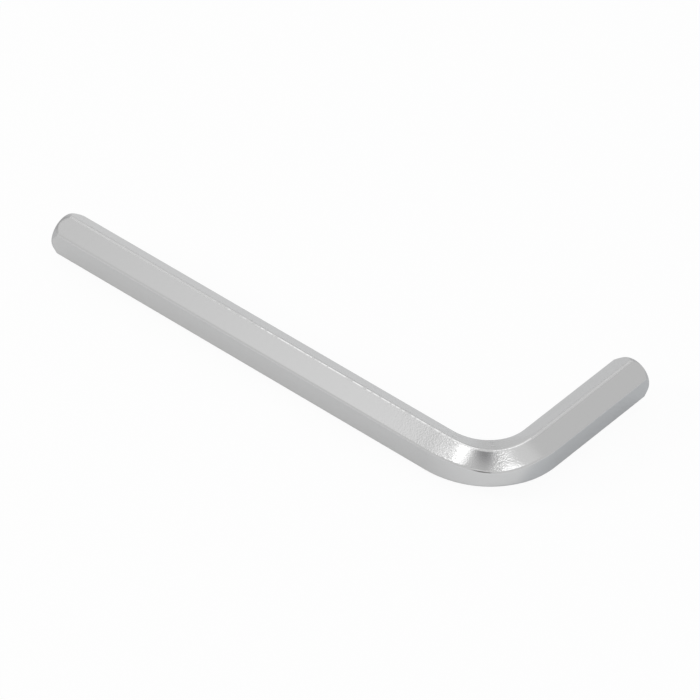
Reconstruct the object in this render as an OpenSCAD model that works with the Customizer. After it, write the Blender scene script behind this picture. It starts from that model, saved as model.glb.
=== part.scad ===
// Hex key: one length of hexagonal steel bar, bent once into a long and a short arm.
// It lies as it comes to rest, on its lower corner ridges, with the long arm along X.

/* [Hex bar] */
// Distance between opposite flats, the size that the key is called by
across_flats = 8; // [6:0.5:10]
// How far each long corner falls short of a sharp one, along the diagonal
corner_cut = 0.1; // [0.05:0.01:0.3]

/* [Arms] */
// Long arm, from its end to the outside of the short arm
long_arm = 110; // [60:1:160]
// Short arm, from its end to the outside of the long arm
short_arm = 46; // [32:1:60]

/* [Bend] */
// Radius on the inside of the bend
bend_inner_r = 9.4; // [8:0.2:12]
// Slope of the inner facets where the bending tool pressed them, against 30 on the arms
press_slope = 18; // [16:1:26]
// Radius of the tool's nose that pressed them
press_r = 19; // [15:1:30]

/* [Ends] */
// How far the rim of each turned end lies inside the flats
rim_inset = 0.2; // [0.1:0.05:0.5]
// Angle of the turned end to the bar's axis
end_angle = 25; // [15:5:45]

/* [Hidden] */
$fn = 96;

// Distance of each flat from the bar's axis
flat_at = across_flats / 2;
// Distance of a sharp corner and of the drawn one from the bar's axis
sharp_at = flat_at / cos(30);
corner_at = sharp_at - corner_cut;
// Radius of the rim round each end face
rim_r = flat_at - rim_inset;
// Length over which a turned end runs out past the corners
end_run = (sharp_at - rim_r) / tan(end_angle);
// Radius of the bend along the bar's axis, and on its outside
bend_r = bend_inner_r + flat_at;
bend_outer_r = bend_r + flat_at;
// Straight lengths between the bend and the end faces
long_run = long_arm - bend_outer_r;
short_run = short_arm - bend_outer_r;

// The drawn bar's section, with flats at the left and right and corners at the top and bottom
module bar_section() {
    intersection() {
        polygon([for (turn = [30:60:330]) sharp_at * [cos(turn), sin(turn)]]);
        circle(corner_at);
    }
}

// What the lathe leaves of an arm: a round blank with a cone that takes the corners off at its end
module turned_blank(run) {
    rotate_extrude()
        polygon([
            [0, 0],
            [sharp_at, 0],
            [sharp_at, run - end_run],
            [rim_r, run],
            [0, run]
        ]);
}

// A straight arm that starts at the bend and ends in its turned end
module arm(run) {
    intersection() {
        linear_extrude(run) bar_section();
        turned_blank(run);
    }
}

// The round nose of the bending tool: it touches the upper inner corner in the middle of the bend,
// rises outwards at the pressed slope and reaches past the bar at both ends
module press_nose() {
    rotate(-45)
        translate([bend_inner_r, 0, sharp_at / 2])
            rotate([0, 90 - press_slope, 0])
                translate([-press_r, 0, -across_flats])
                    cylinder(r = press_r, h = 3 * across_flats);
}

// The quarter turn between the arms, round the centre of the bend.
// Bending lays its inner facets flatter, above and below, which moves the two ridges outwards.
module bend() {
    difference() {
        rotate(-90) rotate_extrude(angle = 90) translate([bend_r, 0]) bar_section();
        press_nose();
        mirror([0, 0, 1]) press_nose();
    }
}

module hex_key() {
    color("silver")
        translate([long_arm / 2 - bend_outer_r, bend_outer_r - short_arm / 2, corner_at]) {
            bend();
            translate([0, -bend_r, 0]) rotate([90, 0, -90]) arm(long_run);
            translate([bend_r, 0, 0]) rotate([90, 0, 180]) arm(short_run);
        }
}

hex_key();
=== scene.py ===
# %% [markdown]
# # A plated hex key
# This key is one length of hexagonal steel bar. At the works the bar is drawn through a die, cut to
# length, turned at both ends, bent once round a form and plated. The lesson makes the mesh in the
# same order, so that each step leaves the mark that it leaves on the real key: rounded ridges from
# the die, cones from the lathe, flattened facets from the bending tool and one even coat of metal
# over it all.

# %% Load the frame
import math

import bmesh
import bpy
from mathutils import Matrix, Vector


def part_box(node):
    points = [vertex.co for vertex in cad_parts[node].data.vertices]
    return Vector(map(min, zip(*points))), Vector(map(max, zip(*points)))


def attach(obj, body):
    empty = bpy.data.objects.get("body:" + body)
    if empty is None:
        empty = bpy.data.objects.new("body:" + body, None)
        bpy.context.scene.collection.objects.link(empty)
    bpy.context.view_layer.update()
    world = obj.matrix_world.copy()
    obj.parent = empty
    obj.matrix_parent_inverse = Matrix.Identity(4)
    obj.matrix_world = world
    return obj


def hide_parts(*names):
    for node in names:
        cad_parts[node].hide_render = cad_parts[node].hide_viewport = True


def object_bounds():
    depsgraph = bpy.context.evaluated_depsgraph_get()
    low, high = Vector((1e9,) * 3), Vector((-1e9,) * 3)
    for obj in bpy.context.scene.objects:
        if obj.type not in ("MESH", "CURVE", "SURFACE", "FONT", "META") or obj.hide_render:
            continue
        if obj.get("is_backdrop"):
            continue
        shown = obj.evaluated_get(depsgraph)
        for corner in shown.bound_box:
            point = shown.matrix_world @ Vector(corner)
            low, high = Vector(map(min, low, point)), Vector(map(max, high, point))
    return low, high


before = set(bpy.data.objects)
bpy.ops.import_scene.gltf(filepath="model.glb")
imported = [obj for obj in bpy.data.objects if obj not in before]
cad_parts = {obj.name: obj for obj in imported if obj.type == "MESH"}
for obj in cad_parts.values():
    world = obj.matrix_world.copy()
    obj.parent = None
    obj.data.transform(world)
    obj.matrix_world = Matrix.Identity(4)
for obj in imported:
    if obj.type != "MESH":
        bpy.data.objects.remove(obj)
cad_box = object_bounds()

# %% [markdown]
# ## Sizes
# The solid model already has the true size, so the arms are read from its box. Only what a box
# can't tell is written here: the size across the flats, by which the key is called, and the bend's
# radius.

# %% Sizes
MM = 0.001
low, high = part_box("hex_key")
long_arm = high.x - low.x
short_arm = high.y - low.y
corner_at = (high.z - low.z) / 2

ACROSS_FLATS = 8 * MM
BEND_INNER_R = 9.4 * MM
flat_at = ACROSS_FLATS / 2
sharp_at = flat_at / math.cos(math.radians(30))
bend_r = BEND_INNER_R + flat_at
bend_outer_r = bend_r + flat_at
bend_centre = Vector((high.x - bend_outer_r, low.y + bend_outer_r, low.z + corner_at))
print(f"arms {long_arm / MM:.1f} and {short_arm / MM:.1f} mm")
print(f"ridges {corner_at / MM:.2f} mm from the axis")

# %% [markdown]
# ## The drawn section
# The bar's section is a hexagon whose corners the die left slightly round. A circle of six points
# is that hexagon, and a vertex bevel rounds its corners. The flats are then divided, because the
# ends and the bend will move points inside them. Drawing the outline first and sweeping it
# afterwards keeps the six facets dead flat, which bevelling a finished bar would not.

# %% The section
# Steps round each corner, and cuts across each flat
CORNER_STEPS = 6
FLAT_CUTS = 15

key = bmesh.new()
bmesh.ops.create_circle(key, cap_ends=True, radius=sharp_at, segments=6)
# A round corner of profile 0.5 falls short of the sharp one by this share of its set-back
corner_share = 1 - math.sqrt(0.5)
corner_setback = (sharp_at - corner_at) / corner_share
bmesh.ops.bevel(
    key,
    geom=key.verts[:],
    affect="VERTICES",
    offset=corner_setback,
    segments=CORNER_STEPS,
    profile=0.5,
    material=-1,
)
flats = [edge for edge in key.edges if edge.calc_length() > flat_at / 2]
bmesh.ops.subdivide_edges(key, edges=flats, cuts=FLAT_CUTS)
print("section", len(key.verts), "points,", len(flats), "flats")

# %% [markdown]
# ## The bend
# The section stands where the long arm meets the bend, with a flat facing the bend's centre. A spin
# carries it through the quarter turn. A curve with a bevel object would do as well, but a spin
# keeps every ring square to the bar, and the rings are needed for the pressing later on.

# %% Spin the bend
BEND_STEPS = 72

outward = Vector((0, -1, 0))
upward = Vector((0, 0, 1))
along = outward.cross(upward)
stand = Matrix((outward, upward, along)).transposed().to_4x4()
stand.translation = outward * bend_r
bmesh.ops.transform(key, matrix=stand, verts=key.verts[:])
long_cap = next(iter(key.faces))
swept = bmesh.ops.spin(
    key,
    geom=key.verts[:] + key.edges[:] + key.faces[:],
    cent=(0, 0, 0),
    axis=(0, 0, 1),
    angle=math.radians(90),
    steps=BEND_STEPS,
)
short_cap = next(part for part in swept["geom_last"] if isinstance(part, bmesh.types.BMFace))
print("bend", len(key.faces), "faces")

# %% [markdown]
# ## The arms
# Each arm is the end face of the bend, extruded. The plain stretch is one step, and the last few
# millimetres get close rings, because the lathe will shape them.

# %% Extrude the arms
RIM_ROUND = 0.2 * MM
END_ANGLE = math.radians(25)
# The rim lies this far inside the flats, and the two ends weren't set up alike in the lathe
LONG_INSET = 0.22 * MM
SHORT_INSET = 0.05 * MM
# Number of close rings, and where they start, as a share of the cone's length
END_RINGS = 24
RINGS_FROM = 1.05
# Rings round the rim, in degrees, and where the others stop, as a share of the rim's length
RIM_ANGLES = (65, 52, 39, 26, 13)
RIM_ROOM = 1.2

end_run = (sharp_at - flat_at + LONG_INSET) / math.tan(END_ANGLE)
round_run = RIM_ROUND * (1 - math.sin(END_ANGLE))


def ring_depths():
    """Distances of the close rings from an end face, the deepest first."""
    plain = [end_run * RINGS_FROM * (1 - step / END_RINGS) for step in range(END_RINGS)]
    rounded = [RIM_ROUND * (1 - math.cos(math.radians(angle))) for angle in RIM_ANGLES]
    return [depth for depth in plain if depth > round_run * RIM_ROOM] + rounded + [0]


def extrude_arm(cap, direction, run):
    """Draws the face out to the arm's end in steps, and returns the face that closes it."""
    reached = 0
    for depth in ring_depths():
        cap = bmesh.ops.extrude_discrete_faces(key, faces=[cap])["faces"][0]
        step = run - depth - reached
        bmesh.ops.translate(key, vec=direction * step, verts=cap.verts)
        reached += step
    return cap


long_run = long_arm - bend_outer_r
short_run = short_arm - bend_outer_r
long_way = Vector((-1, 0, 0))
short_way = Vector((0, 1, 0))
long_cap = extrude_arm(long_cap, long_way, long_run)
short_cap = extrude_arm(short_cap, short_way, short_run)
open_edges = [edge for edge in key.edges if len(edge.link_faces) != 2]
print("bar", len(key.faces), "faces, open edges", len(open_edges))
print(f"volume {key.calc_volume() / MM**3:.0f} mm3")

# %% [markdown]
# ## The turned ends
# A lathe takes the six corners off at each end, so that the key finds its way into a socket. The
# tool runs at a slant and then rounds the rim, and what it cuts is a cone. Here every point that
# stands outside the tool's path is drawn in to it, which is what the lathe does. A boolean cut
# would leave long thin faces along the six arcs where the cone meets the flats.

# %% Turn the ends
turned = key.verts.layers.float.new("turned")


def turned_radius(depth, inset):
    """Radius of the tool's path at a distance from the end face."""
    rim_r = flat_at - inset
    if depth < round_run:
        face_r = rim_r + RIM_ROUND * (math.tan(END_ANGLE) - 1 / math.cos(END_ANGLE))
        return face_r + math.sqrt(RIM_ROUND**2 - (RIM_ROUND - depth) ** 2)
    return rim_r + depth * math.tan(END_ANGLE)


def turn_end(cap, direction, inset):
    """Draws the points near an end in to the tool's path, and returns how many it moved."""
    tip = cap.calc_center_median()
    moved = 0
    for vert in key.verts:
        depth = (tip - vert.co).dot(direction)
        if depth > end_run:
            continue
        spoke = vert.co - tip + direction * depth
        reach = turned_radius(max(depth, 0), inset)
        if spoke.length > reach:
            vert.co = tip - direction * depth + spoke.normalized() * reach
            vert[turned] = 1
            moved += 1
    return moved


print("long end", turn_end(long_cap, long_way, LONG_INSET), "points turned")
print("short end", turn_end(short_cap, short_way, SHORT_INSET), "points turned")

# %% [markdown]
# ## The end faces
# The end faces are many-sided, so each gets a few rings inside its rim. They keep the shading flat
# up to the rim, and they close on a small face in the middle. One large face would do under flat
# shading, but under smooth shading the round rim would tint all of it.

# %% Ring the end faces
# Widths of the rings, the outermost first, as shares of the distance from the axis to a flat
FACE_RINGS = (0.04, 0.3, 0.4)

for cap in (long_cap, short_cap):
    for share in FACE_RINGS:
        bmesh.ops.inset_region(key, faces=[cap], thickness=flat_at * share, use_even_offset=True)
print("with end faces", len(key.faces), "faces")

# %% [markdown]
# ## Where each point was in the straight bar
# The grain of the metal follows the bar round the bend. So every point now notes where it would be
# in the straight bar, as along, out and up in millimetres, and how far into the bend it is. The
# material reads both notes later. A UV map would have a seam somewhere along the bar, and these
# have none.

# %% Note the bar's own coordinates
bar_place = key.verts.layers.float_vector.new("bar_place")
bent_share = key.verts.layers.float.new("bent_share")


def bend_angle(point):
    """Angle round the bend's centre, from 0 on the long arm to a right angle on the short one."""
    if point.x < 0:
        return 0.0
    if point.y > 0:
        return math.pi / 2
    return math.atan2(point.x, -point.y)


def out_from_axis(point, angle):
    """Distance of a point from the bar's axis, away from the bend's centre."""
    return point.x * math.sin(angle) - point.y * math.cos(angle) - bend_r


for vert in key.verts:
    angle = bend_angle(vert.co)
    run = bend_r * angle + min(vert.co.x, 0) + max(vert.co.y, 0)
    vert[bar_place] = Vector((run, out_from_axis(vert.co, angle), vert.co.z)) / MM
    vert[bent_share] = math.sin(2 * angle)
straight_length = long_run + short_run + bend_r * math.pi / 2
print(f"the straight bar was {straight_length / MM:.1f} mm long")

# %% [markdown]
# ## The pressed bend
# Bending squeezes the inside of the bar and stretches its outside, and the jaws of the tool press
# it from above and below. The facets on the inside end up flatter, the ridges wander outwards, and
# the outer flat gets narrower. The six corners are given their shift in the middle of the bend, and
# each point takes its share from the two corners that its flat lies between. A lattice could press
# the mesh too, but its few points wouldn't keep the flats flat.

# %% Shifts of the corners
# Shift of each corner in the middle of the bend, outwards and upwards
OUTER_SHIFT = Vector((0.70, -0.60)) * MM
RIDGE_SHIFT = Vector((1.15, -0.40)) * MM
INNER_SHIFT = Vector((0.30, 0.25)) * MM
# How sharply each shift fades towards the arms
OUTER_FADE = 3
RIDGE_FADE = 2
INNER_FADE = 2


def corner(degrees):
    """A sharp corner of the section, as outwards and upwards."""
    turn = math.radians(degrees)
    return Vector((sharp_at * math.cos(turn), sharp_at * math.sin(turn)))


def between(point, start, end, start_shift, end_shift):
    """The shift of a point on the flat between two corners."""
    flat = end - start
    share = min(max((point - start).dot(flat) / flat.length_squared, 0), 1)
    return start_shift.lerp(end_shift, share)


print(f"a ridge moves outwards by up to {RIDGE_SHIFT.x / MM:.2f} mm")

# %% [markdown]
# ## The rolled edge
# Beyond the middle of the bend the tool also rolls the outer edge of the upper facet down by a
# hair. That is far too little to see as a shape, but on bright metal it turns the reflection of the
# lamps into the light fan at the end of the bend. Bump could do the same here, but then the mesh
# wouldn't have it.

# %% Roll of the outer edge
# How far down the edge is rolled, how wide the roll is, and where it lies round the bend
ROLL_DEPTH = 0.07 * MM
ROLL_WIDTH = 1.9 * MM
ROLL_MIDDLE = math.radians(54)
ROLL_REACH = math.radians(18)


def rolled(point, angle):
    """The extra shift of a point near the outer edge of the upper facet."""
    near_middle = max(1 - ((angle - ROLL_MIDDLE) / ROLL_REACH) ** 2, 0) ** 2
    near_edge = max(1 - (point - corner(30)).length / ROLL_WIDTH, 0) ** 2
    return -corner(60).normalized() * ROLL_DEPTH * near_middle * near_edge


print(f"the roll is {ROLL_DEPTH / MM:.2f} mm deep and {ROLL_WIDTH / MM:.1f} mm wide")

# %% [markdown]
# ## The press
# Every point now moves by both shifts. They are worked out for the upper half of the section, and
# the lower half mirrors them, because the tool's two jaws are alike. Shaping half a bar and
# mirroring it would do as well, but this way no seam has to be welded.

# %% Press the bend
def pressed(point, angle):
    """The shift of a point of the upper half of the section, at an angle round the bend."""
    swell = math.sin(2 * angle)
    outer = OUTER_SHIFT * swell**OUTER_FADE
    ridge = RIDGE_SHIFT * swell**RIDGE_FADE
    inner = INNER_SHIFT * swell**INNER_FADE
    turn = math.degrees(math.atan2(point.y, point.x))
    if turn < 30:
        return Vector((outer.x, outer.y * point.y / corner(30).y))
    if turn < 90:
        return between(point, corner(30), corner(90), outer, ridge)
    if turn < 150:
        return between(point, corner(90), corner(150), ridge, inner)
    return Vector((inner.x, inner.y * point.y / corner(150).y))


furthest = 0
for vert in key.verts:
    angle = bend_angle(vert.co)
    point = Vector((out_from_axis(vert.co, angle), abs(vert.co.z)))
    shift = pressed(point, angle) + rolled(point, angle)
    side = math.copysign(1, vert.co.z)
    vert.co += Vector((math.sin(angle) * shift.x, -math.cos(angle) * shift.x, side * shift.y))
    furthest = max(furthest, shift.length)
print(f"pressed by up to {furthest / MM:.2f} mm")

# %% [markdown]
# ## Into place
# The mesh is moved so that the bend's centre is where the solid model has it. The piece then stands
# for the plain solid and rides on the only body.
# The object itself stays at the origin, because the patterns below are tied to the mesh.

# %% Make the piece
bmesh.ops.translate(key, vec=bend_centre, verts=key.verts[:])
bmesh.ops.recalc_face_normals(key, faces=key.faces[:])
open_edges = [edge for edge in key.edges if len(edge.link_faces) != 2]
print("open edges", len(open_edges), f"volume {key.calc_volume() / MM**3:.0f} mm3")
key_mesh = bpy.data.meshes.new("plated_hex_key")
key.to_mesh(key_mesh)
key.free()
key_mesh.shade_smooth()
plated_key = bpy.data.objects.new("plated_hex_key", key_mesh)
bpy.context.scene.collection.objects.link(plated_key)
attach(plated_key, "root")
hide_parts("hex_key")

# %% [markdown]
# ## Colours and nodes
# Colours are written as they look on a screen and turned to the linear values that a shader works
# in. One helper adds a node with its settings and links, which keeps each material readable.

# %% Helpers for materials
TIMES = {"operation": "MULTIPLY"}
TIMES_PLUS = {"operation": "MULTIPLY_ADD"}
SMOOTH = {"interpolation_type": "SMOOTHSTEP"}


def linear(hex_code):
    """The linear colour of an sRGB hex code."""
    colour = []
    for at in (1, 3, 5):
        part = int(hex_code[at : at + 2], 16) / 255
        colour.append(part / 12.92 if part < 0.04045 else ((part + 0.055) / 1.055) ** 2.4)
    return colour + [1]


def add_node(tree, kind, settings=None, **inputs):
    """Adds a node. Settings are its own properties. Inputs go by name or, as _0, by number, and
    each is a value, a socket, or a node whose first output is meant."""
    node = tree.nodes.new(kind)
    for name, value in (settings or {}).items():
        setattr(node, name, value)
    for name, value in inputs.items():
        by_number = name[1:].isdigit()
        socket = node.inputs[int(name[1:]) if by_number else name.replace("_", " ")]
        if isinstance(value, bpy.types.Node):
            value = value.outputs[0]
        if isinstance(value, bpy.types.NodeSocket):
            tree.links.new(value, socket)
        else:
            socket.default_value = value
    return node


print("middle grey is", round(linear("#808080")[0], 3), "in linear light")

# %% [markdown]
# ## The plating
# A thin coat of nickel covers the drawn steel. It is bright but not a mirror, because the steel
# below isn't polished. That steel shows through as shape, hardly as colour, so nearly all the life
# of the surface is in the bump and the roughness. Drawing leaves faint streaks along the bar, and
# the plating has a fine grain of its own. The pattern sizes are in millimetres, because the noted
# coordinates are. An image texture could hold all this too, but a pattern of nodes is sharp from
# any distance and follows the bar round the bend.

# %% Streaks and grain
# A streak's width and length and the grain's width, in millimetres. The real ones are several times
# finer and wouldn't show from here, so they are drawn as coarse as this.
STREAK_ACROSS = 0.35
STREAK_ALONG = 12
GRAIN = 1.2

plating = bpy.data.materials.new("bright_nickel_plate_on_drawn_steel")
plating.use_nodes = True
tree = plating.node_tree
tree.nodes.clear()
place = add_node(tree, "ShaderNodeAttribute", {"attribute_name": "bar_place"}).outputs["Vector"]
bent = add_node(tree, "ShaderNodeAttribute", {"attribute_name": "bent_share"}).outputs["Fac"]
cut = add_node(tree, "ShaderNodeAttribute", {"attribute_name": "turned"}).outputs["Fac"]
run, out = add_node(tree, "ShaderNodeSeparateXYZ", Vector=place).outputs[:2]

# A pattern across the bar, drawn out along it
per_streak = (1 / STREAK_ALONG, 1 / STREAK_ACROSS, 1 / STREAK_ACROSS)
streak_place = add_node(tree, "ShaderNodeVectorMath", TIMES, _0=place, _1=per_streak)
streaks = add_node(tree, "ShaderNodeTexNoise", Vector=streak_place, Scale=1, Detail=2)
grain = add_node(tree, "ShaderNodeTexNoise", Vector=place, Scale=1 / GRAIN, Detail=2)
print("streaks", STREAK_ACROSS, "mm wide, grain", GRAIN, "mm")

# %% [markdown]
# ## Orange peel
# Stretching the bar in the bend opens its grain to the dimpled skin that is called orange peel. It
# starts faintly on the long arm, is strongest on both sides of the bend's middle and is gone in the
# middle itself, which the tool pressed smooth. A colour ramp along the bar says how strong it is
# where. Painting the strength on the mesh would do as well, but a ramp is easier to change.

# %% Orange peel
# Width of a dimple in millimetres, as on the real key
PEEL = 0.3
# The stretch of the bar that the ramp covers, in millimetres
RAMP_START = -20
RAMP_END = 24
# Places along the bar in millimetres, of which the bend is 0 to 21, and the peel's strength there
PEEL_STRENGTH = (
    (-18, 0),
    (-4, 0.25),
    (1, 0.7),
    (2.5, 1),
    (3.8, 0.65),
    (5, 0.15),
    (9.2, 0.1),
    (10.1, 0.9),
    (11.4, 0.7),
    (12.6, 0.35),
    (20, 0),
)

ramp_place = add_node(tree, "ShaderNodeMapRange", Value=run, From_Min=RAMP_START, From_Max=RAMP_END)
ramp = add_node(tree, "ShaderNodeValToRGB", Fac=ramp_place)
stops = ramp.color_ramp.elements
stops.remove(stops[1])
for stop_run, strength in PEEL_STRENGTH:
    stop = stops.new((stop_run - RAMP_START) / (RAMP_END - RAMP_START))
    stop.color = (strength, strength, strength, 1)
stops.remove(stops[0])
dimples = add_node(tree, "ShaderNodeTexNoise", Vector=place, Scale=1 / PEEL, Detail=1)
peel = add_node(tree, "ShaderNodeMath", TIMES, _0=dimples, _1=ramp)

# Full heights of the patterns. Noise uses about a third of its range, so the real depths are less.
STREAK_DEPTH = 0.0012 * MM
GRAIN_DEPTH = 0.003 * MM
PEEL_DEPTH = 0.08 * MM
height = 0
for pattern, depth in ((streaks, STREAK_DEPTH), (grain, GRAIN_DEPTH), (peel, PEEL_DEPTH)):
    height = add_node(tree, "ShaderNodeMath", TIMES_PLUS, _0=pattern, _1=depth, _2=height)
bump = add_node(tree, "ShaderNodeBump", Strength=1, Distance=1, Height=height)
print("peel", PEEL, "mm wide,", len(stops), "stops along the bar")

# %% [markdown]
# ## A painted dark patch and a painted light flat
# In the middle of the bend, the facet below the upper ridge is painted darker in a patch that
# reaches the ridge and dims its highlight, and the outer flat there is painted lighter, as painted
# light. The patch is the nearness to one point in the bar's own coordinates. The flat is found by
# its distance from the axis.

# %% Painted dark patch and painted light flat
# The dark patch's middle in the bar's own coordinates, and half its length and width, in
# millimetres
DARK_PATCH_MIDDLE = Vector((8.9, 0.3, 4.5))
DARK_PATCH_LENGTH = 1.9
DARK_PATCH_WIDTH = 3.2
# Where each mask starts and where it is full: the dark patch as shares of its size, and the
# facet and the outer flat as distances from the axis in millimetres
DARK_PATCH_EDGE = (1.4, 0.1)
FACET_EDGE = (-0.1, 0.35)
FLAT_EDGE = (3.7, 3.95)

per_dark_patch = Vector((1 / DARK_PATCH_LENGTH, 1 / DARK_PATCH_WIDTH, 1 / DARK_PATCH_WIDTH))
dark_patch_place = add_node(tree, "ShaderNodeVectorMath", TIMES, _0=place, _1=per_dark_patch)
dark_patch_away = add_node(
    tree,
    "ShaderNodeVectorMath",
    {"operation": "DISTANCE"},
    _0=dark_patch_place,
    _1=DARK_PATCH_MIDDLE * per_dark_patch,
).outputs["Value"]
start, full = DARK_PATCH_EDGE
near_dark_patch = add_node(
    tree, "ShaderNodeMapRange", SMOOTH, Value=dark_patch_away, From_Min=start, From_Max=full
)
start, full = FACET_EDGE
facet = add_node(tree, "ShaderNodeMapRange", SMOOTH, Value=out, From_Min=start, From_Max=full)
# Painted dark patch: the facet below the ridge, painted darker over the ridge's highlight
painted_dark_patch = add_node(tree, "ShaderNodeMath", TIMES, _0=near_dark_patch, _1=facet)
start, full = FLAT_EDGE
outer_flat = add_node(tree, "ShaderNodeMapRange", SMOOTH, Value=out, From_Min=start, From_Max=full)
# Painted light: the outer flat is painted lighter in the middle of the bend
painted_light_outer_flat = add_node(tree, "ShaderNodeMath", TIMES, _0=outer_flat, _1=bent)
print("painted dark patch", 2 * DARK_PATCH_LENGTH, "mm long")

# %% [markdown]
# ## Wear, and a painted highlight on the ridges
# The upper and lower ridges carry the key wherever it lies or is gripped, so their plating is
# rubbed dull in short stretches, more so towards both ends and hardly in the bend, where the ridge
# sits lower. The ridges are also painted lighter, a painted highlight: most between those
# stretches, and a little on them. A painted mask would do as well. This one is noise, drawn along
# the bar and kept to the two ridges.

# %% Rubbed ridges and their painted highlight
# Length and width of a rubbed stretch in millimetres, drawn across the whole narrow ridge
RUB_ALONG = 0.8
RUB_ACROSS = 8
# Where each mask starts and where it is full: the ridges by their height over the axis and the
# ends by their place along the bar, in millimetres, and the rubbed stretches by the noise's level
RIDGE_EDGE = (4.36, 4.46)
LONG_END_EDGE = (-35, -85)
SHORT_END_EDGE = (15, 22)
RUB_EDGE = (0.38, 0.66)

folded = add_node(tree, "ShaderNodeVectorMath", {"operation": "ABSOLUTE"}, _0=place)
from_middle = add_node(tree, "ShaderNodeSeparateXYZ", Vector=folded).outputs[2]
start, full = RIDGE_EDGE
ridge = add_node(
    tree, "ShaderNodeMapRange", SMOOTH, Value=from_middle, From_Min=start, From_Max=full
)
start, full = LONG_END_EDGE
long_end = add_node(tree, "ShaderNodeMapRange", SMOOTH, Value=run, From_Min=start, From_Max=full)
start, full = SHORT_END_EDGE
short_end = add_node(tree, "ShaderNodeMapRange", SMOOTH, Value=run, From_Min=start, From_Max=full)
ends = add_node(tree, "ShaderNodeMath", {"operation": "MAXIMUM"}, _0=long_end, _1=short_end)
per_rub = (1 / RUB_ALONG, 1 / RUB_ACROSS, 1 / RUB_ACROSS)
rub_place = add_node(tree, "ShaderNodeVectorMath", TIMES, _0=place, _1=per_rub)
stretches = add_node(tree, "ShaderNodeTexNoise", Vector=rub_place, Scale=1, Detail=2)
# More rubbing at the ends and at the dark patch, and less in the bend
rubbing = ((ends, 0.6), (bent, -0.5), (near_dark_patch, 0.8))
rub = stretches
for share, amount in rubbing:
    rub = add_node(tree, "ShaderNodeMath", TIMES_PLUS, _0=share, _1=amount, _2=rub)
start, full = RUB_EDGE
rub = add_node(tree, "ShaderNodeMapRange", SMOOTH, Value=rub, From_Min=start, From_Max=full)
# The ridges are painted lighter as a painted highlight: a little on the rubbed stretches, more
# between them
rubbed_and_sheen = add_node(tree, "ShaderNodeMath", TIMES, _0=ridge, _1=rub)
painted_ridge_highlight = add_node(tree, "ShaderNodeMath", {"operation": "SUBTRACT"}, _0=ridge, _1=rubbed_and_sheen)
print("rubbed stretches", RUB_ALONG, "mm long")

# %% [markdown]
# ## The finish
# The masks now mix the finish. Nickel is a light grey, so faintly warm that it looks neutral here.
# The lathe's cones are darker, because a rougher steel lies below the coat, and the patch in the
# middle of the bend is painted darker. The outer flat there is painted lighter, as painted light,
# and the ridges are painted lighter, as a painted highlight. Roughness starts low, as for all
# plate, and the streaks, the rubbed stretches, the cones and the dark patch raise it. One shader
# with mixed values stays simpler than several shaders mixed by masks.

# %% Plated steel
PLATE = "#D5D5D5"
PLATE_ROUGHNESS = 0.11
MIX_COLOURS = {"data_type": "RGBA"}

# Each mask with the colour that it brings in
tints = (
    (cut, "#C5C5C6"),
    # the patch in the middle of the bend, painted darker
    (painted_dark_patch, "#9A9A9B"),
    # the outer flat in the bend, painted lighter as painted light
    (painted_light_outer_flat, "#E2E2E2"),
    # the rubbed stretches, painted a little lighter as a painted highlight
    (rubbed_and_sheen, "#DADADA"),
    # the ridges between the rubbed stretches, painted lighter as a painted highlight
    (painted_ridge_highlight, "#E1E1E1"),
)
colour = linear(PLATE)
for share, tint in tints:
    mixed = add_node(tree, "ShaderNodeMix", MIX_COLOURS, _0=share, _6=colour, _7=linear(tint))
    colour = mixed.outputs[2]
# Each pattern or mask with the roughness that it adds
dulling = ((streaks, 0.06), (rubbed_and_sheen, 0.4), (cut, 0.15), (painted_dark_patch, 0.15))
roughness = PLATE_ROUGHNESS
for pattern, amount in dulling:
    roughness = add_node(tree, "ShaderNodeMath", TIMES_PLUS, _0=pattern, _1=amount, _2=roughness)
shader = add_node(
    tree,
    "ShaderNodeBsdfPrincipled",
    Base_Color=colour,
    Metallic=1,
    Roughness=roughness,
    Normal=bump,
)
add_node(tree, "ShaderNodeOutputMaterial", Surface=shader)
key_mesh.materials.append(plating)
print("plating nodes", len(tree.nodes))

# %% [markdown]
# ## The floor
# The key lies on a flat sheet, which runs out of the picture on all sides. A sheet bent up at the
# back, as in a studio, would also do, but this view never sees the bend.

# %% Floor
# How far the sheet reaches to each side, in metres
FLOOR_REACH = 3

floor_mesh = bpy.data.meshes.new("floor")
sheet = bmesh.new()
bmesh.ops.create_grid(sheet, x_segments=1, y_segments=1, size=FLOOR_REACH)
sheet.to_mesh(floor_mesh)
sheet.free()
floor = bpy.data.objects.new("floor", floor_mesh)
bpy.context.scene.collection.objects.link(floor)
floor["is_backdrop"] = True
print("floor", round(floor.dimensions.x, 1), "m wide")

# %% [markdown]
# ## The paper
# The sheet is white paper. To the camera it is almost plain white, and the small rest that is lit
# paper keeps the key's shadow. Reflections get a little of that white too. More light would also
# turn the paper white, but it would bleach the key.

# %% White paper
# How much plain white stands in for the paper, to the camera and in reflections
WHITE_SEEN = 0.95
WHITE_MIRRORED = 0.1

paper = bpy.data.materials.new("white_paper")
paper.use_nodes = True
tree = paper.node_tree
tree.nodes.clear()
matt = add_node(tree, "ShaderNodeBsdfDiffuse", Color=linear("#DDE0E3"))
glow = add_node(tree, "ShaderNodeEmission", Color=(1, 1, 1, 1), Strength=1)
ray = add_node(tree, "ShaderNodeLightPath").outputs
mirrored = add_node(
    tree,
    "ShaderNodeMath",
    {"operation": "MAXIMUM"},
    _0=ray["Is Glossy Ray"],
    _1=ray["Is Transmission Ray"],
)
share = add_node(tree, "ShaderNodeMath", TIMES, _0=mirrored, _1=WHITE_MIRRORED)
seen = ray["Is Camera Ray"]
share = add_node(tree, "ShaderNodeMath", TIMES_PLUS, _0=seen, _1=WHITE_SEEN, _2=share)
both = add_node(tree, "ShaderNodeMixShader", _0=share, _1=matt, _2=glow)
add_node(tree, "ShaderNodeOutputMaterial", Surface=both)
floor_mesh.materials.append(paper)
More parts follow.
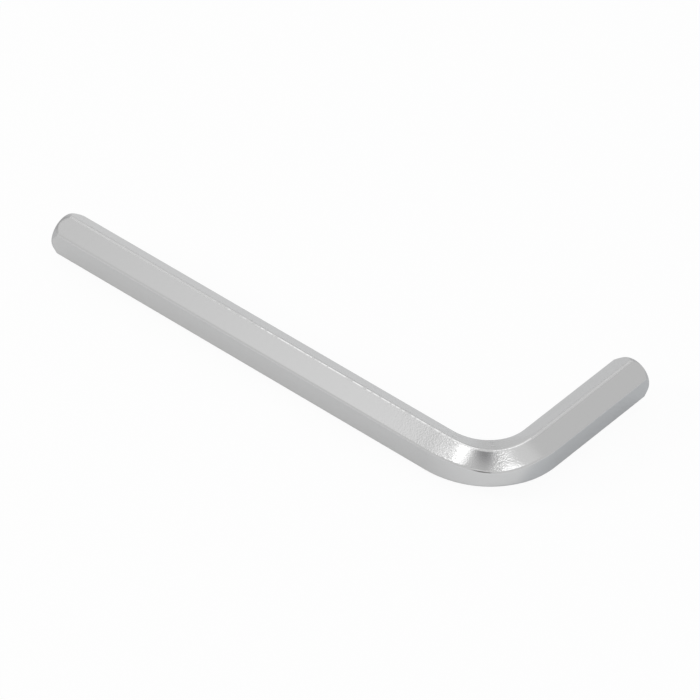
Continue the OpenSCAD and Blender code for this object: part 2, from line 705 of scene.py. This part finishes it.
print("paper nodes", len(tree.nodes))

# %% [markdown]
# ## The light
# Metal shows the room more than its own colour, so the room is drawn with care. It is a white tent
# with two soft boxes overhead and a darker gap between them. It is open at the front, and dark
# behind and on the left. Each of these is a round patch of the sky, given by the direction of its
# middle, the angles at which it starts and ends its fading, and the light that it adds or takes.
# Area lamps would do for the soft boxes, but a patch fades softly, as their cloth does, and it can
# also make a place darker.

# %% Patches of the sky
SKY = 0.71
PATCHES = [
    # beside the first soft box
    ((-0.25, -0.30, 0.92), 6, 18, 0.36),
    # first soft box
    ((-0.07, -0.33, 0.94), 3, 8.5, 0.9),
    # the gap
    ((0.27, -0.25, 0.93), 3, 11, -0.08),
    # second soft box and what spills past it
    ((0.57, -0.08, 0.81), 4, 12.5, 0.98),
    ((0.49, 0.22, 0.84), 3, 15, 0.15),
    # two white cards high at the back
    ((-0.44, 0.25, 0.86), 12, 22, 0.48),
    ((-0.10, 0.40, 0.91), 5, 13, 0.48),
    # the tent's back wall
    ((-0.35, 0.62, 0.70), 10, 25, 0.06),
    # the dark part behind
    ((-0.45, 0.85, 0.27), 5, 15, -0.22),
    # the open front, and the light edge of the tent above it
    ((0.55, -0.76, 0.32), 5, 14, -0.5),
    ((0.33, -0.46, 0.83), 3, 8, 0.4),
    # the dark part on the left
    ((-0.97, 0.15, 0.20), 16, 36, -0.13),
    # the tent's front wall, low down
    ((-0.45, -0.87, 0.22), 12, 28, 0.07),
]
print(len(PATCHES), "patches on a sky of", SKY)

# %% [markdown]
# ## The sky
# The world's shader knows the direction in which a ray leaves. Its dot product with the middle of a
# patch is the cosine of the angle between them, and a smooth step over that cosine is the patch. An
# image of a real studio would light the key too, but its lights couldn't be moved one by one.

# %% Sky
world = bpy.data.worlds.new("studio")
bpy.context.scene.world = world
world.use_nodes = True
tree = world.node_tree
way = add_node(tree, "ShaderNodeTexCoord").outputs["Generated"]
level = SKY
for middle, full, none, amount in PATCHES:
    nearness = add_node(
        tree,
        "ShaderNodeVectorMath",
        {"operation": "DOT_PRODUCT"},
        _0=way,
        _1=Vector(middle).normalized(),
    ).outputs["Value"]
    patch = add_node(
        tree,
        "ShaderNodeMapRange",
        SMOOTH,
        Value=nearness,
        From_Min=math.cos(math.radians(none)),
        From_Max=math.cos(math.radians(full)),
    )
    level = add_node(tree, "ShaderNodeMath", TIMES_PLUS, _0=patch, _1=amount, _2=level)
tree.links.new(level.outputs[0], tree.nodes["Background"].inputs["Strength"])
tree.nodes["Background"].inputs["Color"].default_value = (1, 1, 1, 1)
print("sky nodes", len(tree.nodes))

# %% [markdown]
# ## The lamp
# The sky alone leaves the paper beside the key too dark, and the outer flats mirror that paper. One
# square lamp, low at the front left, lifts it. The metal doesn't mirror the lamp itself, because a
# tent's cloth stands in front of a real one. A sun lamp would do too, but its shadows are harder.

# %% Lamp
# Distance and size in metres, power in watts, and the slightly warm colour of the bulb
LAMP_DISTANCE = 1.4
LAMP_SIZE = 0.35
LAMP_POWER = 9.1
LAMP_COLOUR = (1, 0.88, 0.76)
TO_LAMP = (-0.69, -0.58, 0.42)

light = bpy.data.lights.new("lamp", "AREA")
light.shape = "SQUARE"
light.size = LAMP_SIZE
light.energy = LAMP_POWER
light.color = LAMP_COLOUR
lamp = bpy.data.objects.new("lamp", light)
lamp.visible_glossy = False
bpy.context.scene.collection.objects.link(lamp)
to_lamp = Vector(TO_LAMP).normalized()
lamp.location = to_lamp * LAMP_DISTANCE
lamp.rotation_mode = "QUATERNION"
lamp.rotation_quaternion = to_lamp.to_track_quat("Z", "Y")
print("lamp", round(lamp.location.length, 2), "m away")

# %% [markdown]
# ## The camera
# The camera looks down on the lying key from outside the bend. It stands a metre away with a long
# lens, so that both arms keep nearly their true proportion. Its place is given by the point that it
# looks at, a distance and three angles. An empty with a constraint would do the same, but angles
# are easier to read off a photo and to change.

# %% Camera
TARGET = Vector((7.51, -8.26, 4.52)) * MM
DISTANCE = 1.0598
AZIMUTH = math.radians(36.19)
ELEVATION = math.radians(40.23)
CAMERA_ROLL = math.radians(4.82)
# Focal length and sensor width in millimetres, and the nearest and furthest that is drawn in metres
FOCAL_LENGTH = 288.57
SENSOR_WIDTH = 36
NEAREST = 0.01
FURTHEST = 20

aside = Vector((math.sin(AZIMUTH), -math.cos(AZIMUTH), 0))
toward = aside * math.cos(ELEVATION) + Vector((0, 0, math.sin(ELEVATION)))
camera_data = bpy.data.cameras.new("camera")
camera_data.sensor_width = SENSOR_WIDTH
camera_data.lens = FOCAL_LENGTH
camera_data.clip_start = NEAREST
camera_data.clip_end = FURTHEST
camera = bpy.data.objects.new("camera", camera_data)
bpy.context.scene.collection.objects.link(camera)
camera.location = TARGET + toward * DISTANCE
unrolled = toward.to_track_quat("Z", "Y")
camera.rotation_mode = "QUATERNION"
camera.rotation_quaternion = unrolled @ Matrix.Rotation(CAMERA_ROLL, 3, "Z").to_quaternion()
bpy.context.scene.camera = camera
bpy.context.scene.view_settings.view_transform = "Standard"
print("camera at", [round(part, 3) for part in camera.location])

# %% [markdown]
# ## The last measure
# The dressed key has to keep the size of the solid model, which stands for it when it is moved or
# collides. So the corners of both boxes are compared, and the largest shift is printed.

# %% Sizes and finish
visual_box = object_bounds()
growth = max((ours - plain).length for ours, plain in zip(visual_box, cad_box))
print(f"the box's corners moved by {growth / MM:.2f} mm at most")
